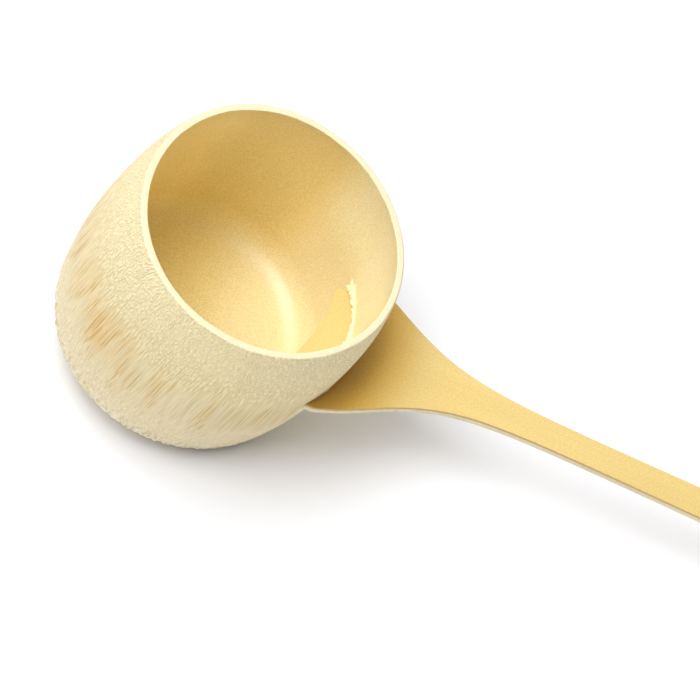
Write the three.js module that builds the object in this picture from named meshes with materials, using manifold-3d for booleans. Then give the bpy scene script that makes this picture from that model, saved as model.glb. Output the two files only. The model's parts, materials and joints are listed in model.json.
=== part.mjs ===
// A bamboo ladle for tea water, at rest on a flat surface, in millimetres with +Z up and the handle along +X.
// It has two pieces: a cup made of one length of culm, and a handle whose tenon goes through the cup's wall.
// Each piece is drawn in the cup's own frame: the axis is Z and the middle of the base is the origin.
import * as THREE from "three";
import { mergeVertices } from "three/addons/utils/BufferGeometryUtils.js";
import Module from "manifold-3d";

// Cup
const cupHeight = 46.8;
const mouthRadius = 25.0; // inside the rim
const rimWall = 1.4;
const bellyRadius = 28.5; // outside, where the cup is widest
const bellyHeight = 20.0; // of that level above the base
const baseRadius = 25.8; // of the flat that the cup stands on
const shoulderPower = 3.1; // how late the outside draws in on its way up to the mouth
const footPower = 1.5; // how early the outside draws in on its way down to the base
const bellyWall = 2.4;
const floorTop = 3.2; // inside floor above the base
const cornerRadius = 5.0; // between the inside wall and the floor
const hollowRadius = 18.0; // shallow hollow of the node under the base
const hollowDepth = 0.9;
const hollowSlope = 2.0; // run of the hollow's sloping side

// Handle
const handleReach = 346.0; // from the cup's axis to the handle's far end
const handleThickness = 2.0;
const handleLevel = 21.4; // height on the cup's axis of the plane of its top face
const handleRise = THREE.MathUtils.degToRad(6.0); // climb away from the cup, from the plane of the rim
const neckHalfWidth = 2.55; // half width of the bare strip where it meets the cup
const endHalfWidth = 5.0;
const fanHalfWidth = 18.2; // what the fan adds to the half width, far inside its root
const fanMiddle = 34.7; // distance from the cup's axis where the fan has half of that left
const fanSpread = 7.9; // length over which it dies away
const fanTail = 6.0; // spreads past the middle where nothing of it is left
const fanLimit = 16.6; // half width at which its corners are blunted
const nodePlace = 190.0; // of the strip's own bamboo node, from the cup's axis
const nodeLength = 10.0;
const nodeHeight = 0.6;
const endSlant = 1.6; // how far the underside of the cut end reaches past the top

// Joint
const tenonHalfWidth = 10.2;
const tenonReach = 20.2; // from the cup's axis to the middle of the tenon's end
const tenonSkew = 2.3; // how far the end's cut leans, at its corners
const tenonHollow = 1.3; // depth of the crescent in the end
const slotClearance = 0.3;
const shoulderClearance = 0.3; // between the fan's shoulders and the cup's outside

// Fineness of the facets
const roundSegments = 64;
const upperSteps = 9;
const lowerSteps = 7;
const cornerSteps = 5;
const fanSteps = 22;
const nodeSteps = 10;

const wasm = await Module();
wasm.setup();

// A closed geometry as a solid that can be joined and cut.
function solidOf(geometry) {
  geometry.deleteAttribute("normal");
  geometry.deleteAttribute("uv");
  const merged = mergeVertices(geometry);
  const mesh = new wasm.Mesh({
    numProp: 3,
    vertProperties: new Float32Array(merged.attributes.position.array),
    triVerts: new Uint32Array(merged.index.array),
  });
  return new wasm.Manifold(mesh);
}

// A solid as a geometry with flat faces.
function geometryOf(solid) {
  const mesh = solid.getMesh();
  const geometry = new THREE.BufferGeometry();
  geometry.setAttribute("position", new THREE.BufferAttribute(mesh.vertProperties, 3));
  geometry.setIndex(new THREE.BufferAttribute(mesh.triVerts, 1));
  const faceted = geometry.toNonIndexed();
  faceted.computeVertexNormals();
  return faceted;
}

function steps(count) {
  return Array.from({ length: count + 1 }, (_, index) => index / count);
}

// Radius of the cup's outside at a height.
function outerRadius(height) {
  if (height >= bellyHeight) {
    const up = (height - bellyHeight) / (cupHeight - bellyHeight);
    return bellyRadius - (bellyRadius - mouthRadius - rimWall) * up ** shoulderPower;
  }
  const down = (bellyHeight - height) / bellyHeight;
  const kept = (1 - down ** footPower) ** (1 / footPower);
  return baseRadius + (bellyRadius - baseRadius) * kept;
}

// Wall thickness at a height: even up to the belly, then thinning to the rim.
function wallAt(height) {
  const up = Math.max(0, (height - bellyHeight) / (cupHeight - bellyHeight));
  return bellyWall - (bellyWall - rimWall) * up;
}

// Outline of the outside from the base to the rim, grown by a clearance.
function outsidePoints(grown) {
  const lower = steps(lowerSteps).map((t) => bellyHeight * (1 - Math.cos((t * Math.PI) / 2)));
  const upper = steps(upperSteps).map((t) => bellyHeight + (cupHeight - bellyHeight) * t);
  const heights = [...lower, ...upper.slice(1)];
  return heights.map((height) => new THREE.Vector2(outerRadius(height) + grown, height));
}

// Outline of the inside from the rim to the floor.
function insidePoints() {
  const cornerTop = floorTop + cornerRadius;
  const wallRadius = (height) => outerRadius(height) - wallAt(height);
  const cornerMiddle = wallRadius(cornerTop) - cornerRadius;
  const upper = steps(upperSteps).map((t) => cupHeight + (bellyHeight - cupHeight) * t);
  const lower = steps(cornerSteps).map((t) => bellyHeight + (cornerTop - bellyHeight) * t);
  const wall = [...upper, ...lower.slice(1)].map((height) => new THREE.Vector2(wallRadius(height), height));
  const corner = steps(cornerSteps).slice(1).map((t) => {
    const turn = (t * Math.PI) / 2;
    const radius = cornerMiddle + cornerRadius * Math.cos(turn);
    return new THREE.Vector2(radius, cornerTop - cornerRadius * Math.sin(turn));
  });
  return [...wall, ...corner, new THREE.Vector2(0, floorTop)];
}

// A profile turned about Z, with the middle of one facet towards the handle.
function turned(points) {
  const geometry = new THREE.LatheGeometry(points, roundSegments, Math.PI / roundSegments);
  return solidOf(geometry.rotateX(Math.PI / 2));
}

// The whole outside of the cup as a solid, grown by a clearance.
function barrel(grown) {
  const foot = new THREE.Vector2(0, 0);
  const lid = new THREE.Vector2(0, cupHeight);
  return turned([foot, ...outsidePoints(grown), lid]);
}

// Moves what is drawn with its top face on Z = 0 and its length along X to the handle's place.
function atHandle(geometry) {
  return geometry.rotateY(-handleRise).translate(0, 0, handleLevel);
}

// An upright solid over an outline in plan, between two heights from the handle's top face.
function upright(shape, low, high) {
  const geometry = new THREE.ExtrudeGeometry(shape, { depth: high - low, bevelEnabled: false });
  return solidOf(atHandle(geometry.translate(0, 0, low)));
}

// An upright solid over an outline in plan, past both faces of the handle.
function throughHandle(shape) {
  return upright(shape, -2 * handleThickness, handleThickness + nodeHeight);
}

// Half width of the handle at a distance from the cup's axis: a taper and the fan, up to a limit.
function handleHalfWidth(along) {
  const share = (along - bellyRadius) / (handleReach - bellyRadius);
  const strip = neckHalfWidth + (endHalfWidth - neckHalfWidth) * share;
  const fan = fanHalfWidth / (1 + Math.exp((along - fanMiddle) / fanSpread));
  return Math.min(fanLimit, strip + fan);
}

// The strip in plan, from inside the cup to past the far end.
function stripPlan() {
  const start = tenonReach - tenonHalfWidth;
  const fanEnd = fanMiddle + fanTail * fanSpread;
  const pastEnd = handleReach + endSlant;
  const fan = steps(fanSteps).map((t) => start + (fanEnd - start) * t);
  const side = [...fan, pastEnd].map((along) => new THREE.Vector2(along, handleHalfWidth(along)));
  const mirrored = side.map((point) => new THREE.Vector2(point.x, -point.y)).reverse();
  return new THREE.Shape([...mirrored, ...side]);
}

// The strip from the side: its thickness, the low ridge of its node and the slanting cut end.
function stripSide() {
  const shape = new THREE.Shape();
  shape.moveTo(0, -handleThickness);
  shape.lineTo(handleReach, -handleThickness);
  shape.lineTo(handleReach - endSlant, 0);
  for (const t of steps(nodeSteps)) {
    const ridge = nodeHeight * Math.sin(Math.PI * t) ** 2;
    shape.lineTo(nodePlace + nodeLength * (0.5 - t), ridge);
  }
  shape.lineTo(0, 0);
  return shape;
}

// The tenon in plan, with the crescent in its end, grown by a clearance at its sides.
function tenonPlan(grown) {
  const half = tenonHalfWidth + grown;
  const root = bellyRadius + bellyWall;
  const shape = new THREE.Shape();
  shape.moveTo(root, -half);
  shape.lineTo(root, half);
  shape.lineTo(tenonReach + tenonSkew - tenonHollow, half);
  shape.quadraticCurveTo(tenonReach + tenonHollow, 0, tenonReach - tenonSkew - tenonHollow, -half);
  return shape;
}

function makeCup() {
  const underside = [
    new THREE.Vector2(0, hollowDepth),
    new THREE.Vector2(hollowRadius - hollowSlope, hollowDepth),
    new THREE.Vector2(hollowRadius, 0),
  ];
  const body = turned([...underside, ...outsidePoints(0), ...insidePoints()]);
  const slot = upright(tenonPlan(slotClearance), -handleThickness - slotClearance, slotClearance);
  return body.subtract(slot);
}

function makeHandle() {
  const widest = 2 * (neckHalfWidth + endHalfWidth + fanHalfWidth);
  const side = new THREE.ExtrudeGeometry(stripSide(), { depth: widest, bevelEnabled: false });
  const thickness = solidOf(atHandle(side.rotateX(Math.PI / 2).translate(0, widest / 2, 0)));
  const strip = throughHandle(stripPlan()).intersect(thickness);
  const tenon = throughHandle(tenonPlan(0));
  const shoulders = barrel(shoulderClearance).subtract(tenon);
  return strip.subtract(shoulders);
}

// The cup stands on the edge of its base and leans until the handle's far end touches the surface.
function restTilt() {
  const edge = baseRadius * Math.cos(Math.PI / roundSegments);
  const endX = handleReach * Math.cos(handleRise) + handleThickness * Math.sin(handleRise);
  const endZ = handleLevel + handleReach * Math.sin(handleRise) - handleThickness * Math.cos(handleRise);
  return Math.atan2(endZ, endX - edge);
}

function piece(name, solid, color, roughness) {
  const material = new THREE.MeshStandardMaterial({ color, roughness, metalness: 0 });
  const mesh = new THREE.Mesh(geometryOf(solid), material);
  mesh.name = name;
  return mesh;
}

const ladle = new THREE.Group();
ladle.add(piece("cup", makeCup(), 0xe6d5aa, 0.6));
ladle.add(piece("handle", makeHandle(), 0xecca7d, 0.4));
ladle.rotation.y = restTilt();

// The origin lies on the surface, under the middle of the whole ladle.
const box = new THREE.Box3().setFromObject(ladle, true);
const middle = box.getCenter(new THREE.Vector3());
ladle.position.set(-middle.x, -middle.y, -box.min.z);

const part = new THREE.Group();
part.add(ladle);

export default part;
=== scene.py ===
"""A bamboo ladle for tea water: its fine surfaces, materials, light and camera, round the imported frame."""

import json
import math
import random

import bpy
from mathutils import Matrix, Vector, noise


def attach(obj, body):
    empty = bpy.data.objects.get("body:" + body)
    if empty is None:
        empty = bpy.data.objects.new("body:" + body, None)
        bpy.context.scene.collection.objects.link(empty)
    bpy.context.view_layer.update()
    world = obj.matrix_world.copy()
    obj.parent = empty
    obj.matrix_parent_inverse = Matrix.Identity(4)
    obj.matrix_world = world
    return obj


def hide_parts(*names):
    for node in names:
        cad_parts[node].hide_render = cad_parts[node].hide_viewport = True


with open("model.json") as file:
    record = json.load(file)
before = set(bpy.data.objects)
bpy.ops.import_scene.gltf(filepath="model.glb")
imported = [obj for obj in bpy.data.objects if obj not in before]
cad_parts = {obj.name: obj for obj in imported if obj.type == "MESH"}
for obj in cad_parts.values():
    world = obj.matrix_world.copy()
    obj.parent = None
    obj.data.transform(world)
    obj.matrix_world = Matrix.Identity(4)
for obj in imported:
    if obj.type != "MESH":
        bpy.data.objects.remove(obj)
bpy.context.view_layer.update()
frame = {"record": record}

# Sizes are in millimetres, as in the part's own source.
MM = 0.001

# Cup
CUP_HEIGHT = 46.8
MOUTH_RADIUS = 25.0  # inside the rim
RIM_WALL = 1.4
BELLY_RADIUS = 28.5  # outside, where the cup is widest
BELLY_HEIGHT = 20.0  # of that level above the base
BASE_RADIUS = 25.8
SHOULDER_POWER = 3.1  # how late the outside draws in on its way up
FOOT_POWER = 1.5  # and how early on its way down
BELLY_WALL = 2.4
FLOOR_TOP = 3.2  # inside floor above the base
CORNER_RADIUS = 6.5  # between the inside wall and the floor
HOLLOW_RADIUS = 18.0  # shallow hollow under the base
HOLLOW_DEPTH = 0.9
HOLLOW_SLOPE = 2.0  # run of its sloping side
MOUNT_OFFSET = 21.9  # of the base mount from the middle of the base, along Y

# Handle
HANDLE_REACH = 346.0  # from the cup's axis to the far end
HANDLE_THICKNESS = 2.0
HANDLE_LEVEL = 21.4  # height on the cup's axis of the plane of its top face
HANDLE_RISE = math.radians(6.0)
NECK_HALF_WIDTH = 2.55
END_HALF_WIDTH = 5.0
FAN_HALF_WIDTH = 18.2  # what the fan adds, far inside its root
FAN_MIDDLE = 34.7  # where it has half of that left
FAN_SPREAD = 7.9  # length over which it dies away
FAN_TAIL = 6.0  # spreads past the middle where nothing of it is left
FAN_LIMIT = 16.6  # half width at which its corners are blunted
NODE_PLACE = 190.0
NODE_LENGTH = 10.0
NODE_HEIGHT = 0.6
END_SLANT = 1.6

# Joint
TENON_HALF_WIDTH = 10.2
TENON_REACH = 20.2
TENON_SKEW = 2.3
TENON_HOLLOW = 1.3
UNDERCUT = 0.5  # how far the underside of the tenon's end stays back
FIT = 0.1  # what is left open in the finished joint

# Handwork
OUTER_ROUND = 0.5  # rounding of the rim's outer edge
INNER_ROUND = 0.2  # and of its inner edge
KNIFE = 0.1  # how far the trimmed rim wanders
KNIFE_DEPTH = 2.0  # how far down the wall that is felt
KNIFE_PACE = 5.0  # how quickly the rim wanders sideways
LEVEL_PACE = 3.0  # and up and down
LEVEL_SEED = 7.0
KNOBS = 0.32  # how far the trimmed foot wanders
KNOB_PACE = 36.0
KNOB_CHANGE = 0.3  # of the knobs, per millimetre of height
FOOT_RISE = 7.0  # height of the trimmed foot
OVAL_TURN = math.radians(23.0)
OVAL = 0.0118  # share of the radius by which the cup is out of round
TRIPLE_COS = 0.0037  # and the shares of its three lobes
TRIPLE_SIN = 0.0036
EDGE_ROUND = 0.13  # rounding of the handle's long edges
DRIFT = -0.2  # how far the strip lies to one side

# Torn lip over the slot, with its places and widths as angles round the cup
LIP_MIDDLE = 0.06
LIP_END = 0.47  # from the middle to each end
LIP_TAPER = 0.08
LIP_REACH = 0.8  # out of the wall
LIP_ROOT = 0.4  # into the wall
LIP_HEIGHT = 0.3  # least height above the tenon
LIP_PACE = 45.0  # how quickly its reach wanders
LIP_SEED = 3.0
LIP_DRAWS = 8  # seed of its random draws
FAR_TUFT = 0.42  # where the lip stands out furthest
FAR_WIDTH = 0.1
FAR_REACH = 1.0
NEAR_TUFT = -0.15  # where it does so again
NEAR_WIDTH = 0.14
NEAR_REACH = 0.9

# Marks on the planed wall, with levels above the base
BUNDLE_SPACING = 0.46  # between fibre bundles
BUNDLE_SCATTER = 0.7  # how far bundles and lines stray from even rows, as a share
BUNDLE_PACE = 0.05  # turnover of the bundles per millimetre of height
DOTS_START = 33.0  # level above which they end as dots
DOTS_STRAY = 3.0  # how far that level strays
DOTS_EASE = 10.0  # how gently they set in
DOTS_CALM = 41.0  # level where the dots are faintest
DOT_PACE = 0.48  # what the turnover gains above
SPECKLE_END = 12.0  # level below which the bundles end as speckle
SPECKLE_EASE = 5.0  # how gently it sets in
SPECKLE_PACE = 0.3  # what the turnover gains below
SPECKLE_FADE = (9.0, 15.0)  # levels over which the speckle gives way
STREAK_HEIGHT = 22.0  # level where the planed wall runs with the bundles
STREAK_SPACING = 0.44  # between the lines there
STREAK_PACE = 0.028  # turnover of the lines per millimetre of height
STREAK_FADE = (8.0, 15.0)  # levels over which the lines set in
WARM_LEVEL = (19.0, 25.0)  # levels between which the middle of the warm patches strays
WARM_FADE = (3.0, 10.0)  # from that middle, where the patches fade
SMEAR_FADE = (5.0, 14.0)  # and where the smears do
FOOT_FADE = (8.0, 16.0)  # levels over which the paler foot gives way
RIM_FADE = (CUP_HEIGHT - 0.3, CUP_HEIGHT - 0.08)  # levels over which the marks end
KNOB_FADE = (2.5, FOOT_RISE)  # levels over which the knobs end
BASE_FADE = (BASE_RADIUS - 0.8, BASE_RADIUS - 0.2)  # radii over which the look of the base ends
BASE_TOP = (2.0, 4.0)  # levels over which its look ends above
EDGE_FADE = (0.5, 2.0)  # levels over which the relief sets in
WARM_SIDE = (-0.72, -0.69, 0.0)  # side of the cup with the warmest streaks

# Marks inside the cup
LIT_SIDE_LEVELS = (20.0, 34.0)  # levels over which the painted light on the pale side grows to its palest
FLOOR_FADE = (FLOOR_TOP + 0.2, FLOOR_TOP + 5.0)  # levels over which the floor's colour ends
FLOOR_LIGHT = (-4.0, 10.0)  # places along X between which it turns paler, as painted light where the floor is lit
LIT_SIDE = (0.87, 0.5, 0.0)  # side of the inside that is palest: painted light where the wall is lit
SHADED_SIDE = (0.03, 1.0, 0.0)  # and most golden, as painted shade where the wall lies in shade

# Marks on the handle
RIND = 0.8  # thickness of the darker layer under the skin
RIND_FADE = (0.5 * RIND, 1.2 * RIND)  # depths over which it gives way to the wood
SKIN_FADE = (0.04, 0.2)  # depths over which the skin gives way to it
ROOT_SHADE = (3.0, 16.0)  # from the cup, where the painted shade of the handle's root, a deeper and darker colour, fades
CORNER_SHADE = (2.0, 8.0)  # and where the darker painted shade in the corner there fades
TENON_FADE = (-BELLY_WALL, -0.5)  # and where, within the wall, the tenon's darker skin does: painted shade, darkening it under the strong light that falls there
RIDGE_FADE = (1.5, 5.0)  # from the ridge of the node, where its paler colour fades
SCAR_OFFSET = 2.4  # of the thin scar from that ridge
SCAR_FADE = (0.15, 0.6)  # from the scar, where its colour fades

# Grain, as turnover per millimetre along X, Y and Z
WALL_STREAKS = (0.3, 0.3, 0.035)
WALL_SMEARS = (1.1, 1.1, 0.14)
WALL_FIBRES = (3.2, 3.2, 0.15)
FOOT_KNOBS = (1.3, 1.3, 0.4)
TORN_STRANDS = (3.0, 3.0, 1.0)
INSIDE_GRAIN = (3.6, 3.6, 2.4)
INSIDE_STRIPES = (0.34, 0.34, 0.01)
SKIN_FIBRES = (0.03, 2.2, 2.2)
SKIN_GRAIN = (2.2, 3.6, 3.6)
SKIN_CLOUDS = (0.03, 0.2, 0.2)
WALL_PATCHES = 0.08  # the same all ways, as is the next
INSIDE_CLOUDS = 0.09
NOISE_SPAN = (0.3, 0.7)  # holds most of a noise's values
CLOUD_SPAN = (0.35, 0.7)  # from one colour of a cloudy surface to the other

# Fineness
ROUND_STEPS = 720
WALL_STEP = 0.7
FLAT_STEP = 2.0  # between the rings of a flat
FOOT_STEP = 0.06  # of the quarter turn that spaces the foot's levels
RIM_STEP = math.pi / 12.0
CORNER_STEP = math.pi / 24.0
SLOPE_STEP = math.pi / 6.0
EDGE_STEP = math.pi / 8.0
FACE_STEP = 0.2  # across half of the strip, as a share
TENON_STEP = 0.08  # along the tenon's end, as a share
FAN_STEP = 1.0
NODE_STEP = 0.5
STRIP_STEP = 5.0
LIP_STEP = 0.012
SHARP_EDGE = 40.0  # degrees from which an edge stays sharp

# Camera, fitted to the photograph, whose frame is square
VIEW_AZIMUTH = math.radians(-7.96)
VIEW_ELEVATION = math.radians(58.74)
VIEW_ROLL = math.radians(29.21)
VIEW_DISTANCE = 800.0
VIEW_TARGET = (-128.0, 14.23, -2.69)
FOCAL_LENGTH = 205.7
SENSOR_WIDTH = 36.0

# Light and floor
LAMP_DISTANCE = 1200.0
LAMP_AIM = (-130.0, 0.0, 20.0)
KEY_SIZE = 700.0
FILL_SIZE = 1000.0
LAMPS = [  # name, azimuth and elevation in degrees, power in watts, size
    ("key", 215.0, 58.0, 7.9, KEY_SIZE),
    ("top", 180.0, 80.0, 5.4, KEY_SIZE),
    ("back", 155.0, 68.0, 2.7, KEY_SIZE),
    ("back_fill", 135.0, 45.0, 2.9, FILL_SIZE),
    ("far_fill", 90.0, 45.0, 2.7, FILL_SIZE),
    ("front_fill", 315.0, 18.0, 3.0, FILL_SIZE),
]
SURROUNDINGS = 0.15  # light from all round
FLOOR_REACH = 4000.0
WHITE_FLOOR = (240.0, 420.0)  # from the middle of the ladle, where the floor in view turns white
WHITE = (1.0, 1.0, 1.0, 1.0)

base_mount = frame["record"]["mounts"][0]
tilt = math.atan2(-base_mount["axis"][0], -base_mount["axis"][2])
base_middle = Vector(base_mount["pos_m"]) - Vector((0.0, MOUNT_OFFSET * MM, 0.0))
scale_to_metres = Matrix.Scale(MM, 4)
cup_turn = Matrix.Rotation(tilt, 4, "Y")
handle_turn = Matrix.Rotation(tilt - HANDLE_RISE, 4, "Y")
handle_origin = base_middle + cup_turn @ Vector((0.0, 0.0, HANDLE_LEVEL * MM))
cup_place = Matrix.Translation(base_middle) @ cup_turn @ scale_to_metres
handle_place = Matrix.Translation(handle_origin) @ handle_turn @ scale_to_metres


def span(start, end, step):
    """Evenly spaced values from start to end, no further apart than step."""
    count = max(1, math.ceil(abs(end - start) / step))
    return [start + (end - start) * index / count for index in range(count + 1)]


def smooth_step(value, low, high):
    share = min(1.0, max(0.0, (value - low) / (high - low)))
    return share * share * (3.0 - 2.0 * share)


def paint(red, green, blue):
    """A colour written as it looks on screen, from 0 to 255."""
    def linear(value):
        share = value / 255.0
        return share / 12.92 if share <= 0.04045 else ((share + 0.055) / 1.055) ** 2.4

    return (linear(red), linear(green), linear(blue), 1.0)


# Colours of the cup's outside
UPPER_WALL = paint(249, 235, 190)
LOWER_WALL = paint(231, 215, 175)
LOWER_STREAK = paint(226, 208, 164)
FOOT_WALL = paint(241, 227, 191)
WARM_WALL = paint(229, 200, 138)
BUNDLE = paint(207, 177, 108)
WARM_BUNDLE = paint(200, 157, 84)
KNOB = paint(246, 238, 212)
# painted shade between the knobs of the trimmed foot
KNOB_SHADE = paint(208, 180, 122)
BASE = paint(226, 208, 164)
BASE_BUNDLE = paint(196, 166, 110)
RIM = paint(231, 219, 183)

# Colours of its inside
INSIDE = paint(254, 233, 170)
INSIDE_CLOUD = paint(251, 228, 163)
# painted shade: deeper gold for the side of the inside wall in shade
INSIDE_SHADED = paint(237, 215, 147)
# painted light: the lit side of the inside wall, paler, and palest near its top
INSIDE_LIT = paint(235, 220, 171)
INSIDE_LIT_UPPER = paint(249, 240, 197)
INSIDE_STRIPE = paint(250, 242, 208)
INSIDE_FLOOR = paint(233, 212, 143)
# painted light: the lit part of the inside floor
INSIDE_FLOOR_LIT = paint(237, 221, 169)
TORN_PALE = paint(250, 243, 208)
TORN_DEEP = paint(236, 219, 168)

# Colours of the handle
SKIN = paint(222, 195, 124)
SKIN_CLOUD = paint(219, 191, 119)
SKIN_FIBRE = paint(213, 184, 113)
NODE_RIDGE = paint(233, 212, 150)
NODE_SCAR = paint(172, 134, 74)
# painted shade: a darker copy of the skin for the tenon, which lies in strong light
TENON_SHADED_SKIN = paint(208, 185, 119)
# painted shade: the handle's root where the cup shades it
ROOT_SHADE_SKIN = paint(219, 173, 62)
# painted shade: the corner where the handle meets the cup
CORNER_SHADE_SKIN = paint(162, 114, 42)
RIND_WOOD = paint(193, 156, 94)
WOOD = paint(231, 217, 181)
WOOD_FIBRE = paint(217, 199, 157)

PALE_FLOOR = paint(243, 244, 248)


# Shape of the cup
def outer_radius(height):
    if height >= BELLY_HEIGHT:
        up = (height - BELLY_HEIGHT) / (CUP_HEIGHT - BELLY_HEIGHT)
        return BELLY_RADIUS - (BELLY_RADIUS - MOUTH_RADIUS - RIM_WALL) * up ** SHOULDER_POWER
    down = (BELLY_HEIGHT - height) / BELLY_HEIGHT
    kept = (1.0 - down ** FOOT_POWER) ** (1.0 / FOOT_POWER)
    return BASE_RADIUS + (BELLY_RADIUS - BASE_RADIUS) * kept


def inner_radius(height):
    up = max(0.0, (height - BELLY_HEIGHT) / (CUP_HEIGHT - BELLY_HEIGHT))
    return outer_radius(height) - BELLY_WALL + (BELLY_WALL - RIM_WALL) * up


def out_of_round(angle):
    turned = angle + OVAL_TURN
    lobes = TRIPLE_COS * math.cos(3.0 * turned) + TRIPLE_SIN * math.sin(3.0 * turned)
    return 1.0 + OVAL * math.sin(2.0 * turned) + lobes


def wander(angle, pace, seed):
    """Smooth noise round the cup, from about -1 to 1."""
    spot = Vector((pace * math.cos(angle), pace * math.sin(angle), seed))
    return noise.noise(spot)


def outside_profile(grown=0.0):
    turns = span(0.0, math.pi / 2.0, FOOT_STEP)
    lower = [BELLY_HEIGHT * (1.0 - math.cos(turn)) for turn in turns]
    upper = span(BELLY_HEIGHT, CUP_HEIGHT - OUTER_ROUND, WALL_STEP)
    return [(outer_radius(height) + grown, height) for height in lower + upper[1:]]


def quarter_round(radius, rounding, start):
    """A rounding of the rim, from the angle start."""
    level = CUP_HEIGHT - rounding
    turns = span(start, start + math.pi / 2.0, RIM_STEP)
    return [(radius + rounding * math.cos(turn), level + rounding * math.sin(turn)) for turn in turns]


def rim_profile():
    """The rim's outer rounding, its flat and its inner rounding."""
    outside = outer_radius(CUP_HEIGHT - OUTER_ROUND) - OUTER_ROUND
    inside = MOUTH_RADIUS + INNER_ROUND
    outer_edge = quarter_round(outside, OUTER_ROUND, 0.0)[1:]
    flat = [((outside + inside) / 2.0, CUP_HEIGHT)]
    inner_edge = quarter_round(inside, INNER_ROUND, math.pi / 2.0)
    return outer_edge + flat + inner_edge


def inside_profile():
    corner_top = FLOOR_TOP + CORNER_RADIUS
    middle = inner_radius(corner_top) - CORNER_RADIUS
    levels = span(CUP_HEIGHT - INNER_ROUND, corner_top, WALL_STEP)[1:]
    wall = [(inner_radius(level), level) for level in levels]
    corner = []
    for turn in span(0.0, -math.pi / 2.0, CORNER_STEP)[1:]:
        corner.append((middle + CORNER_RADIUS * math.cos(turn), corner_top + CORNER_RADIUS * math.sin(turn)))
    floor = [(radius, FLOOR_TOP) for radius in span(middle, 0.0, FLAT_STEP)[1:]]
    return wall + corner + floor


def underside_profile():
    slope_start = HOLLOW_RADIUS - HOLLOW_SLOPE
    hollow = [(radius, HOLLOW_DEPTH) for radius in span(0.0, slope_start, FLAT_STEP)]
    slope = []
    for turn in span(0.0, math.pi, SLOPE_STEP)[1:]:
        level = HOLLOW_DEPTH * (1.0 + math.cos(turn)) / 2.0
        slope.append((slope_start + HOLLOW_SLOPE * turn / math.pi, level))
    ring = [(radius, 0.0) for radius in span(HOLLOW_RADIUS, BASE_RADIUS, FLAT_STEP)[1:-1]]
    return hollow + slope + ring


# Mesh helpers
def make_object(name, points, faces, place, materials=(), face_materials=None):
    mesh = bpy.data.meshes.new(name)
    mesh.from_pydata([place @ Vector(point) for point in points], [], faces)
    for material in materials:
        mesh.materials.append(material)
    if face_materials:
        mesh.polygons.foreach_set("material_index", face_materials)
    mesh.update()
    made = bpy.data.objects.new(name, mesh)
    bpy.context.scene.collection.objects.link(made)
    return made


def revolve(profile, point_at):
    """Points and faces of a profile turned about Z, and the band of the profile that each face is in.

    The profile's first and last points are on the axis."""
    points = [point_at(*profile[0], 0.0)]
    rows = []
    for radius, height in profile[1:-1]:
        rows.append(len(points))
        for step in range(ROUND_STEPS):
            points.append(point_at(radius, height, 2.0 * math.pi * step / ROUND_STEPS))
    last = len(points)
    points.append(point_at(*profile[-1], 0.0))
    faces = []
    bands = []
    for step in range(ROUND_STEPS):
        following = (step + 1) % ROUND_STEPS
        faces.append((0, rows[0] + following, rows[0] + step))
        bands.append(0)
        for band, (low, high) in enumerate(zip(rows, rows[1:])):
            faces.append((low + step, low + following, high + following, high + step))
            bands.append(band + 1)
        faces.append((rows[-1] + step, rows[-1] + following, last))
        bands.append(len(rows))
    return points, faces, bands


def round_point(radius, height, angle):
    wide = radius * out_of_round(angle)
    return (wide * math.cos(angle), wide * math.sin(angle), height)


def tube_faces(count, rings):
    """Faces of a closed tube of rings that have so many points each."""
    faces = []
    for row in range(rings - 1):
        low = row * count
        high = low + count
        for index in range(count):
            following = (index + 1) % count
            faces.append((low + index, low + following, high + following, high + index))
    last = (rings - 1) * count
    faces.append(tuple(reversed(range(count))))
    faces.append(tuple(range(last, last + count)))
    return faces


def turned_over(face):
    """The same face from its other side, with the same first corner."""
    return face[:1] + face[:0:-1]


def prism(outline, low, high, lean=0.0):
    """Points and faces of an upright solid over a closed outline, which may lean along X."""
    points = [(x + lean * level, y, level) for level in (low, high) for x, y in outline]
    return points, tube_faces(len(outline), 2)


def cut(target, cutter):
    """Takes the cutter out of the target, and deletes the cutter."""
    modifier = target.modifiers.new("cut", "BOOLEAN")
    modifier.operation = "DIFFERENCE"
    modifier.solver = "EXACT"
    modifier.object = cutter
    depsgraph = bpy.context.evaluated_depsgraph_get()
    finished = bpy.data.meshes.new_from_object(target.evaluated_get(depsgraph))
    target.modifiers.clear()
    spare = target.data
    target.data = finished
    bpy.data.meshes.remove(spare)
    bpy.data.objects.remove(cutter)


def smooth(piece):
    mesh = piece.data
    mesh.polygons.foreach_set("use_smooth", [True] * len(mesh.polygons))
    mesh.set_sharp_from_angle(angle=math.radians(SHARP_EDGE))


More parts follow.
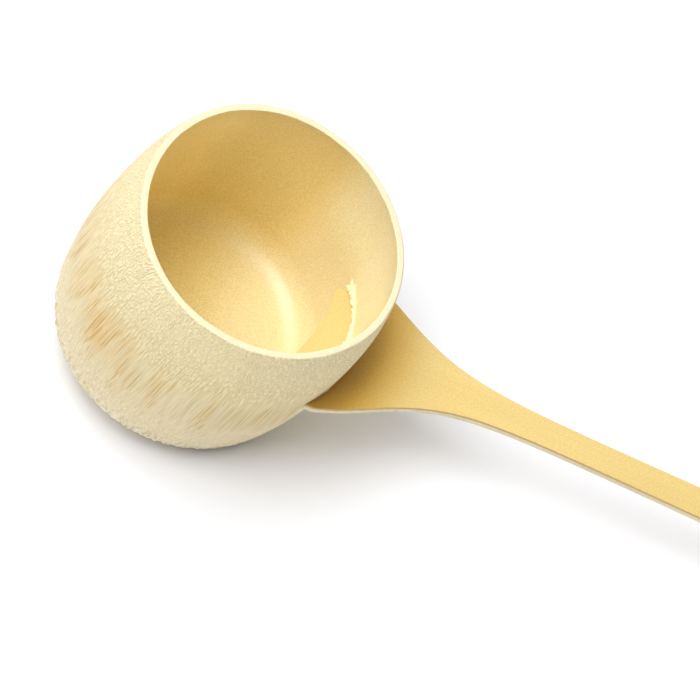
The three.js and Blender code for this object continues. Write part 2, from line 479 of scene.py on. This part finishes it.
# Materials
class Shader:
    """A material built by short calls. Its shader is a Principled one.

    Its places are in millimetres, in a frame that is moved to an origin and turned about Y."""

    def __init__(self, name, origin=(0.0, 0.0, 0.0), turn=0.0):
        self.material = bpy.data.materials.new(name)
        self.material.use_nodes = True
        self.tree = self.material.node_tree
        self.surface = self.tree.nodes["Principled BSDF"]
        inputs = {
            "Vector": self.node("ShaderNodeTexCoord", {}).outputs["Object"],
            "Location": origin,
            "Rotation": (0.0, turn, 0.0),
            "Scale": (MM, MM, MM),
        }
        self.spot = self.node("ShaderNodeMapping", inputs, vector_type="TEXTURE").outputs[0]
        parts = self.node("ShaderNodeSeparateXYZ", {0: self.spot}).outputs
        self.along = parts["X"]
        self.height = parts["Z"]
        self.across = self.stretch(self.spot, (1.0, 1.0, 0.0))

    def feed(self, socket, value):
        if isinstance(value, bpy.types.NodeSocket):
            self.tree.links.new(value, socket)
        else:
            socket.default_value = value

    def node(self, kind, inputs, **settings):
        made = self.tree.nodes.new(kind)
        for key, value in settings.items():
            setattr(made, key, value)
        for key, value in inputs.items():
            self.feed(made.inputs[key], value)
        return made

    # Numbers
    def math(self, operation, a, b=0.0, c=0.0):
        return self.node("ShaderNodeMath", {0: a, 1: b, 2: c}, operation=operation).outputs[0]

    def times(self, first, *others):
        product = first
        for other in others:
            product = self.math("MULTIPLY", product, other)
        return product

    def minus(self, first, second):
        return self.math("SUBTRACT", first, second)

    def distance(self, first, second):
        return self.math("ABSOLUTE", self.minus(first, second))

    def fade(self, value, low, high, start=0.0, end=1.0):
        """Runs smoothly from start to end as the value goes from low to high."""
        inputs = {"Value": value, "From Min": low, "From Max": high, "To Min": start, "To Max": end}
        return self.node("ShaderNodeMapRange", inputs, interpolation_type="SMOOTHSTEP").outputs[0]

    # Vectors
    def vector(self, operation, inputs, output="Vector"):
        return self.node("ShaderNodeVectorMath", inputs, operation=operation).outputs[output]

    def stretch(self, vector, factors):
        return self.vector("MULTIPLY", {0: vector, 1: factors})

    def raised(self, vector, height):
        upward = self.node("ShaderNodeCombineXYZ", {"Z": height}).outputs[0]
        return self.vector("ADD", {0: vector, 1: upward})

    def length(self, vector):
        return self.vector("LENGTH", {0: vector}, "Value")

    def toward(self, direction):
        """How far a place lies towards a side of the cup, from -1 to 1."""
        outward = self.vector("NORMALIZE", {0: self.across})
        return self.vector("DOT_PRODUCT", {0: outward, 1: direction}, "Value")

    # Patterns
    def noise(self, vector, scale=1.0, detail=2.0):
        inputs = {"Vector": vector, "Scale": scale, "Detail": detail}
        return self.node("ShaderNodeTexNoise", inputs).outputs[0]

    def grain(self, turnover, detail=2.0):
        return self.noise(self.stretch(self.spot, turnover), detail=detail)

    def cells(self, vector, spacing, scatter=1.0):
        """Distance from the nearest of many scattered points, in spacings."""
        inputs = {"Vector": vector, "Scale": 1.0 / spacing, "Randomness": scatter}
        return self.node("ShaderNodeTexVoronoi", inputs).outputs["Distance"]

    # Surface
    def mix(self, share, first, second):
        """Goes from the first colour to the second. The numbers are those of the node's colour sockets."""
        made = self.node("ShaderNodeMix", {}, data_type="RGBA")
        self.feed(made.inputs[0], share)
        self.feed(made.inputs[6], first)
        self.feed(made.inputs[7], second)
        return made.outputs[2]

    def speckle(self, color, grain, amount):
        """Lightens and darkens a colour a little with a grain."""
        gain = self.fade(grain, 0.2, 0.8, 1.0 - amount, 1.0 + amount)
        return self.vector("SCALE", {0: color, "Scale": gain})

    def bump(self, height, depth):
        return self.node("ShaderNodeBump", {"Height": height, "Distance": depth * MM}).outputs[0]

    def finish(self, color, roughness, normal, specular):
        self.feed(self.surface.inputs["Base Color"], color)
        self.feed(self.surface.inputs["Roughness"], roughness)
        self.feed(self.surface.inputs["Normal"], normal)
        self.surface.inputs["Specular IOR Level"].default_value = specular
        return self.material


def bundle_gaps(look, patch):
    """Gaps between fibre bundles, which are drawn out at the belly and cut short above and below it."""
    dots_start = look.fade(patch, *NOISE_SPAN, DOTS_START - DOTS_STRAY, DOTS_START + DOTS_STRAY)
    climb = look.math("SMOOTH_MAX", look.minus(look.height, dots_start), 0.0, DOTS_EASE)
    sink = look.math("SMOOTH_MAX", look.minus(SPECKLE_END, look.height), 0.0, SPECKLE_EASE)
    gained = look.minus(look.times(climb, DOT_PACE), look.times(sink, SPECKLE_PACE))
    turnover = look.math("ADD", look.times(look.height, BUNDLE_PACE), gained)
    bundle = look.cells(look.raised(look.across, turnover), BUNDLE_SPACING, BUNDLE_SCATTER)
    return look.fade(bundle, 0.2, 0.75)


def belly_glow(look, streak, from_belly):
    """Warm patches at the belly, most of them on one side."""
    warm_side = look.times(look.fade(look.toward(WARM_SIDE), 0.88, 0.985), look.fade(streak, 0.3, 0.55))
    warm = look.math("MAXIMUM", warm_side, look.fade(streak, 0.5, 0.7, 0.0, 0.35))
    return look.times(warm, look.fade(from_belly, *WARM_FADE, 1.0, 0.0))


def belly_lines(look, streak, glow, upper):
    """Fine lines where the planed wall runs with its bundles."""
    drawn_out = look.stretch(look.spot, (1.0, 1.0, STREAK_PACE))
    line = look.fade(look.cells(drawn_out, STREAK_SPACING, BUNDLE_SCATTER), 0.2, 0.52, 1.0, 0.0)
    strength = look.math("MAXIMUM", look.fade(streak, 0.38, 0.62, 0.4, 0.9), glow)
    below_dots = look.fade(upper, 0.0, 1.0, 1.0, 0.0)
    return look.times(line, strength, look.fade(look.height, *STREAK_FADE), below_dots)


def wall_ground(look, streak, glow, upper):
    """Colour of the planed wall between its marks."""
    lower = look.mix(look.fade(streak, *CLOUD_SPAN), LOWER_WALL, LOWER_STREAK)
    lower = look.mix(look.fade(look.height, *FOOT_FADE), FOOT_WALL, lower)
    return look.mix(look.times(glow, 0.7), look.mix(upper, lower, UPPER_WALL), WARM_WALL)


def planed_bamboo():
    """Bamboo planed across its fibre bundles: dots where the cut slants, lines where it runs with them."""
    look = Shader("cup_outside", base_middle, tilt)
    patch = look.noise(look.across, WALL_PATCHES)
    streak = look.grain(WALL_STREAKS, 3.0)
    fibre = look.grain(WALL_FIBRES)
    upper = look.fade(look.height, STREAK_HEIGHT, DOTS_START)
    below_rim = look.fade(look.height, *RIM_FADE, 1.0, 0.12)
    from_belly = look.distance(look.height, look.fade(patch, *NOISE_SPAN, *WARM_LEVEL))
    glow = belly_glow(look, streak, from_belly)

    # Marks of the bundles
    gaps = bundle_gaps(look, patch)
    rough = look.math("MAXIMUM", upper, look.fade(look.height, *SPECKLE_FADE, 0.45, 0.0))
    dots = look.times(gaps, rough, look.fade(look.height, STREAK_HEIGHT, DOTS_CALM, 0.8, 0.36))
    smear = look.fade(look.grain(WALL_SMEARS), 0.56, 0.68)
    smears = look.times(smear, look.fade(from_belly, *SMEAR_FADE, 0.2, 0.0))
    lines = belly_lines(look, streak, glow, upper)
    marks = look.times(below_rim, look.math("MAXIMUM", smears, look.math("ADD", lines, dots)))
    ground = wall_ground(look, streak, glow, upper)
    marked = look.mix(marks, ground, look.mix(glow, BUNDLE, WARM_BUNDLE))

    # Foot, knobbly where the node was trimmed, and base
    base = look.fade(look.length(look.across), *BASE_FADE, 1.0, 0.0)
    under = look.times(base, look.fade(look.height, *BASE_TOP, 1.0, 0.0))
    foot = look.times(look.fade(look.height, *KNOB_FADE, 1.0, 0.0), look.minus(1.0, under))
    knob = look.grain(FOOT_KNOBS)
    # painted shade in the recesses between the knobs
    knob_shade = look.times(foot, look.fade(knob, 0.36, 0.46, 0.5, 0.0))
    knobs = look.times(foot, look.fade(knob, 0.44, 0.58, 0.0, 0.7))
    footed = look.mix(knobs, look.mix(knob_shade, marked, KNOB_SHADE), KNOB)
    bundle_ends = look.fade(look.cells(look.across, STREAK_SPACING), 0.2, 0.5, 0.6, 0.0)
    based = look.mix(under, footed, look.mix(bundle_ends, BASE, BASE_BUNDLE))
    color = look.speckle(look.mix(below_rim, RIM, based), fibre, amount=0.07)

    # Relief
    sunk = look.times(gaps, below_rim, look.fade(rough, 0.0, 1.0, 0.35, 0.8))
    sunk = look.times(sunk, look.minus(1.0, look.fade(look.height, *EDGE_FADE, 0.8, 0.0)))
    lumps = look.math("ADD", look.times(foot, knob, 3.0), look.times(fibre, 0.3))
    normal = look.bump(look.minus(lumps, sunk), depth=0.24)
    return look.finish(color, roughness=0.62, normal=normal, specular=0.3)


def torn_fibre():
    look = Shader("torn_fibre", base_middle, tilt)
    strand = look.grain(TORN_STRANDS, 3.0)
    color = look.mix(look.fade(strand, 0.35, 0.65), TORN_PALE, TORN_DEEP)
    return look.finish(color, roughness=0.7, normal=look.bump(strand, depth=0.1), specular=0.3)


def inner_skin():
    """The smooth inside of the culm: golden on the wall, with a tone of its own on the floor, which turns
    paler towards its lit part as painted light; painted light also makes one side of the wall paler, and
    painted shade makes another side more golden.
    """
    look = Shader("cup_inside", base_middle, tilt)
    grain = look.grain(INSIDE_GRAIN)
    cloud = look.noise(look.spot, INSIDE_CLOUDS)
    upper = look.fade(look.height, *LIT_SIDE_LEVELS)
    # painted light: the side of the inside wall that the light falls on is painted paler
    lit_side = look.fade(look.toward(LIT_SIDE), 0.75, 0.97)
    # painted shade: the side of the inside wall in shade is painted more golden
    shaded_side = look.fade(look.toward(SHADED_SIDE), 0.8, 0.98)
    wall = look.mix(look.fade(cloud, *CLOUD_SPAN), INSIDE, INSIDE_CLOUD)
    wall = look.mix(shaded_side, wall, INSIDE_SHADED)
    wall = look.mix(lit_side, wall, look.mix(upper, INSIDE_LIT, INSIDE_LIT_UPPER))
    stripe = look.fade(look.grain(INSIDE_STRIPES, 1.0), 0.42, 0.62)
    wall = look.mix(look.times(stripe, lit_side, upper, 0.4), wall, INSIDE_STRIPE)
    # the floor turns paler along X, as painted light where it is lit
    floor = look.mix(look.fade(look.along, *FLOOR_LIGHT), INSIDE_FLOOR, INSIDE_FLOOR_LIT)
    color = look.mix(look.fade(look.height, *FLOOR_FADE), floor, wall)
    color = look.speckle(color, grain, amount=0.13)
    roughness = look.fade(grain, *NOISE_SPAN, 0.3, 0.38)
    return look.finish(color, roughness, look.bump(grain, depth=0.02), specular=0.65)


def handle_skin():
    """The skin side of a bamboo strip, with a darker rind along its cut sides and paler wood below, and
    painted shade at its root by the cup and on the tenon.
    """
    look = Shader("handle_skin", handle_origin, tilt - HANDLE_RISE)
    fibre = look.grain(SKIN_FIBRES, 3.0)
    grain = look.grain(SKIN_GRAIN)
    cloud = look.grain(SKIN_CLOUDS)
    skin = look.mix(look.fade(cloud, *CLOUD_SPAN), SKIN, SKIN_CLOUD)
    skin = look.mix(look.fade(fibre, 0.4, 0.7, 0.0, 0.35), skin, SKIN_FIBRE)

    # Node: a paler ridge with a thin scar beside it
    from_ridge = look.distance(look.along, NODE_PLACE)
    from_scar = look.distance(look.along, NODE_PLACE - SCAR_OFFSET)
    skin = look.mix(look.fade(from_ridge, *RIDGE_FADE, 0.5, 0.0), skin, NODE_RIDGE)
    skin = look.mix(look.fade(from_scar, *SCAR_FADE, 0.7, 0.0), skin, NODE_SCAR)

    # Root: painted shade, deeper and darker towards the cup, and darker still in the corner against it
    from_cup = look.minus(look.length(look.across), BELLY_RADIUS)
    outside = look.fade(from_cup, *TENON_FADE)
    # painted shade of the root, fading away from the cup
    root_shade = look.times(outside, look.fade(from_cup, *ROOT_SHADE, 1.0, 0.0))
    # painted shade in the corner against the cup
    corner_shade = look.times(outside, look.fade(from_cup, *CORNER_SHADE, 0.48, 0.0))
    skin = look.mix(outside, TENON_SHADED_SKIN, skin)
    skin = look.mix(root_shade, skin, ROOT_SHADE_SKIN)
    skin = look.mix(corner_shade, skin, CORNER_SHADE_SKIN)

    # Sides and underside: the rind, then the wood
    depth = look.times(look.height, -1.0)
    wood = look.mix(look.fade(fibre, *CLOUD_SPAN), WOOD, WOOD_FIBRE)
    below = look.mix(look.fade(depth, *RIND_FADE), RIND_WOOD, wood)
    color = look.mix(look.times(outside, look.fade(depth, *SKIN_FADE)), skin, below)
    color = look.speckle(color, grain, amount=0.1)
    roughness = look.fade(grain, *NOISE_SPAN, 0.42, 0.52)
    return look.finish(color, roughness, look.bump(grain, depth=0.015), specular=0.45)


# Tenon and slot
def tenon_outline(grown=0.0):
    half = TENON_HALF_WIDTH + grown
    root = BELLY_RADIUS + BELLY_WALL
    outline = [(root, -half), (root, half)]
    for t in span(0.0, 1.0, TENON_STEP):
        start = (1.0 - t) ** 2 * (TENON_REACH + TENON_SKEW - TENON_HOLLOW)
        middle = 2.0 * t * (1.0 - t) * (TENON_REACH + TENON_HOLLOW)
        end = t ** 2 * (TENON_REACH - TENON_SKEW - TENON_HOLLOW)
        outline.append((start + middle + end, half * (1.0 - 2.0 * t)))
    return outline


# Cup
def cup_point(radius, height, angle):
    """A point of the cup, with the wandering of its trimmed rim and foot."""
    near_rim = smooth_step(height, CUP_HEIGHT - KNIFE_DEPTH, CUP_HEIGHT)
    wide = radius * out_of_round(angle) + near_rim * KNIFE * wander(angle, KNIFE_PACE, radius)
    high = height + near_rim * KNIFE * wander(angle, LEVEL_PACE, LEVEL_SEED)
    at_foot = smooth_step(radius, HOLLOW_RADIUS, BASE_RADIUS) * smooth_step(height, FOOT_RISE, 0.0)
    wide += at_foot * KNOBS * wander(angle, KNOB_PACE, KNOB_CHANGE * height)
    return (wide * math.cos(angle), wide * math.sin(angle), high)


def make_cup():
    outside = underside_profile() + outside_profile() + rim_profile()
    inside_start = len(outside) - 1
    points, faces, bands = revolve(outside + inside_profile(), cup_point)
    slots = [1 if band >= inside_start else 0 for band in bands]
    cup = make_object("cup_fine", points, faces, cup_place, (planed_bamboo(), inner_skin()), slots)
    slot_points, slot_faces = prism(tenon_outline(FIT), -HANDLE_THICKNESS - FIT, FIT)
    cut(cup, make_object("slot_cutter", slot_points, slot_faces, handle_place))
    smooth(cup)
    return cup


# Handle
def half_width(along):
    share = (along - BELLY_RADIUS) / (HANDLE_REACH - BELLY_RADIUS)
    strip = NECK_HALF_WIDTH + (END_HALF_WIDTH - NECK_HALF_WIDTH) * share
    fan = FAN_HALF_WIDTH / (1.0 + math.exp((along - FAN_MIDDLE) / FAN_SPREAD))
    return min(FAN_LIMIT, strip + fan)


def handle_section(half):
    """Outline of the strip across its length, from the middle of the top, with rounded edges."""
    side = half - EDGE_ROUND
    low = -HANDLE_THICKNESS + EDGE_ROUND
    high = -EDGE_ROUND
    right = []
    for share in span(0.0, 1.0, FACE_STEP)[:-1]:
        right.append((side * share, 0.0))
    for turn in span(math.pi / 2.0, 0.0, EDGE_STEP):
        right.append((side + EDGE_ROUND * math.cos(turn), high + EDGE_ROUND * math.sin(turn)))
    for turn in span(0.0, -math.pi / 2.0, EDGE_STEP):
        right.append((side + EDGE_ROUND * math.cos(turn), low + EDGE_ROUND * math.sin(turn)))
    for share in span(1.0, 0.0, FACE_STEP)[1:]:
        right.append((side * share, -HANDLE_THICKNESS))
    left = [(-y, z) for y, z in reversed(right[1:-1])]
    return right + left


def node_rise(along):
    share = (along - NODE_PLACE) / NODE_LENGTH
    return NODE_HEIGHT * math.cos(math.pi * share) ** 2 if abs(share) < 0.5 else 0.0


def handle_stations():
    """Distances from the cup's axis at which the strip has a section."""
    fan_end = FAN_MIDDLE + FAN_TAIL * FAN_SPREAD
    node_start = NODE_PLACE - NODE_LENGTH / 2.0
    node_end = NODE_PLACE + NODE_LENGTH / 2.0
    stations = span(TENON_REACH - TENON_HALF_WIDTH, fan_end, FAN_STEP)
    stations += span(fan_end, node_start, STRIP_STEP)[1:]
    stations += span(node_start, node_end, NODE_STEP)[1:]
    stations += span(node_end, HANDLE_REACH, STRIP_STEP)[1:]
    return stations


def make_shoulders_cutter():
    """The outside of the cup without the tenon, which is what the strip has to stay clear of."""
    profile = [(0.0, 0.0)] + outside_profile(FIT) + [(0.0, CUP_HEIGHT)]
    points, faces, _ = revolve(profile, round_point)
    barrel = make_object("barrel_cutter", points, faces, cup_place)
    lean = -UNDERCUT / HANDLE_THICKNESS
    tenon_points, tenon_faces = prism(tenon_outline(), -2.0 * HANDLE_THICKNESS, HANDLE_THICKNESS, lean)
    cut(barrel, make_object("tenon_cutter", tenon_points, tenon_faces, handle_place))
    return barrel


def make_handle():
    stations = handle_stations()
    points = []
    for along in stations:
        aside = DRIFT * smooth_step(along, BELLY_RADIUS - BELLY_WALL, BELLY_RADIUS + BELLY_WALL)
        for across, level in handle_section(half_width(along)):
            top_share = (level + HANDLE_THICKNESS) / HANDLE_THICKNESS
            slant = END_SLANT * top_share if along == HANDLE_REACH else 0.0
            points.append((along - slant, across + aside, level + node_rise(along) * top_share))
    faces = tube_faces(len(points) // len(stations), len(stations))
    handle = make_object("handle_fine", points, faces, handle_place, (handle_skin(),))
    cut(handle, make_shoulders_cutter())
    smooth(handle)
    return handle


# Torn fibres
def tenon_level(across):
    """Height on the cup's inside wall of the tenon's top face."""
    return HANDLE_LEVEL + across * math.tan(HANDLE_RISE)


def torn_reach(angle):
    """How far the torn lip stands out of the wall: most at its two tufts."""
    far_tuft = math.exp(-((angle - FAR_TUFT) / FAR_WIDTH) ** 2)
    near_tuft = math.exp(-((angle - NEAR_TUFT) / NEAR_WIDTH) ** 2)
    taper = smooth_step(LIP_END - abs(angle - LIP_MIDDLE), 0.0, LIP_TAPER)
    return taper * (LIP_REACH + FAR_REACH * far_tuft + NEAR_REACH * near_tuft)


def torn_section(angle, chance):
    """Outline of the lip at an angle, as places into the wall and up from the tenon."""
    uneven = 0.7 + 0.6 * wander(angle, LIP_PACE, LIP_SEED)
    reach = torn_reach(angle) * uneven * chance.uniform(0.7, 1.15)
    top = LIP_HEIGHT + 0.5 * reach * chance.uniform(0.5, 1.0)
    droop = chance.uniform(0.1, 0.35)
    root = [(LIP_ROOT, 0.0), (LIP_ROOT, top)]
    torn = [(-0.05, top), (-0.6 * reach, 0.8 * top), (-reach, droop), (-0.4 * reach, 0.05)]
    return root + torn


def make_torn_fibres():
    """The ragged lip of fibres that the tenon pushed out of the cup's inside wall."""
    chance = random.Random(LIP_DRAWS)
    angles = span(LIP_MIDDLE - LIP_END, LIP_MIDDLE + LIP_END, LIP_STEP)
    points = []
    for angle in angles:
        wall = inner_radius(tenon_level(MOUTH_RADIUS)) * out_of_round(angle)
        level = tenon_level(wall * math.cos(angle))
        for inward, up in torn_section(angle, chance):
            radius = wall + inward
            points.append((radius * math.cos(angle), radius * math.sin(angle), level + up))
    inside_out = tube_faces(len(points) // len(angles), len(angles))
    faces = [turned_over(face) for face in inside_out]
    return make_object("slot_torn_fibres", points, faces, cup_place, (torn_fibre(),))


# Stage
def make_floor():
    look = Shader("floor")
    look.surface.inputs["Base Color"].default_value = PALE_FLOOR
    look.surface.inputs["Roughness"].default_value = 1.0
    look.surface.inputs["Specular IOR Level"].default_value = 0.0
    look.surface.inputs["Emission Color"].default_value = WHITE
    seen = look.node("ShaderNodeLightPath", {}).outputs["Is Camera Ray"]
    white = look.times(seen, look.fade(look.length(look.spot), *WHITE_FLOOR))
    look.feed(look.surface.inputs["Emission Strength"], white)
    corners = [
        (-FLOOR_REACH, -FLOOR_REACH, 0.0),
        (FLOOR_REACH, -FLOOR_REACH, 0.0),
        (FLOOR_REACH, FLOOR_REACH, 0.0),
        (-FLOOR_REACH, FLOOR_REACH, 0.0),
    ]
    floor = make_object("floor", corners, [(0, 1, 2, 3)], scale_to_metres, (look.material,))


def make_world():
    """Faint light from all round, which the camera sees as white."""
    world = bpy.data.worlds.new("studio")
    bpy.context.scene.world = world
    world.use_nodes = True
    tree = world.node_tree
    path = tree.nodes.new("ShaderNodeLightPath")
    strength = tree.nodes.new("ShaderNodeMix")
    strength.inputs[2].default_value = SURROUNDINGS
    strength.inputs[3].default_value = 1.0
    tree.links.new(path.outputs["Is Camera Ray"], strength.inputs[0])
    background = tree.nodes["Background"]
    background.inputs["Color"].default_value = WHITE
    tree.links.new(strength.outputs[0], background.inputs["Strength"])


def make_lamp(name, azimuth, elevation, power, size):
    """A soft round lamp, placed by its direction from the ladle in degrees."""
    lamp = bpy.data.lights.new(name, "AREA")
    lamp.shape = "DISK"
    lamp.size = size * MM
    lamp.energy = power
    made = bpy.data.objects.new(name, lamp)
    around = math.radians(azimuth)
    above = math.radians(elevation)
    level = math.cos(above)
    toward = Vector((level * math.cos(around), level * math.sin(around), math.sin(above)))
    made.location = (Vector(LAMP_AIM) + toward * LAMP_DISTANCE) * MM
    made.rotation_euler = toward.to_track_quat("Z", "Y").to_euler()
    made.visible_camera = False
    bpy.context.scene.collection.objects.link(made)


def make_camera():
    back = Vector((
        math.sin(VIEW_AZIMUTH) * math.cos(VIEW_ELEVATION),
        -math.cos(VIEW_AZIMUTH) * math.cos(VIEW_ELEVATION),
        math.sin(VIEW_ELEVATION),
    ))
    level = Vector((0.0, 0.0, 1.0)).cross(back).normalized()
    upright = back.cross(level)
    right = math.cos(VIEW_ROLL) * level + math.sin(VIEW_ROLL) * upright
    up = back.cross(right)
    lens = bpy.data.cameras.new("camera")
    lens.lens = FOCAL_LENGTH
    lens.sensor_width = SENSOR_WIDTH
    camera = bpy.data.objects.new("camera", lens)
    turn = Matrix((right, up, back)).transposed().to_4x4()
    camera.matrix_world = Matrix.Translation((Vector(VIEW_TARGET) + back * VIEW_DISTANCE) * MM) @ turn
    bpy.context.scene.collection.objects.link(camera)
    bpy.context.scene.camera = camera


cup = make_cup()
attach(cup, "root")
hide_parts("cup")

handle = make_handle()
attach(handle, "root")
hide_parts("handle")

torn_fibres = make_torn_fibres()
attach(torn_fibres, "root")

make_floor()
make_world()
for lamp in LAMPS:
    make_lamp(*lamp)
make_camera()
bpy.context.scene.view_settings.view_transform = "Standard"
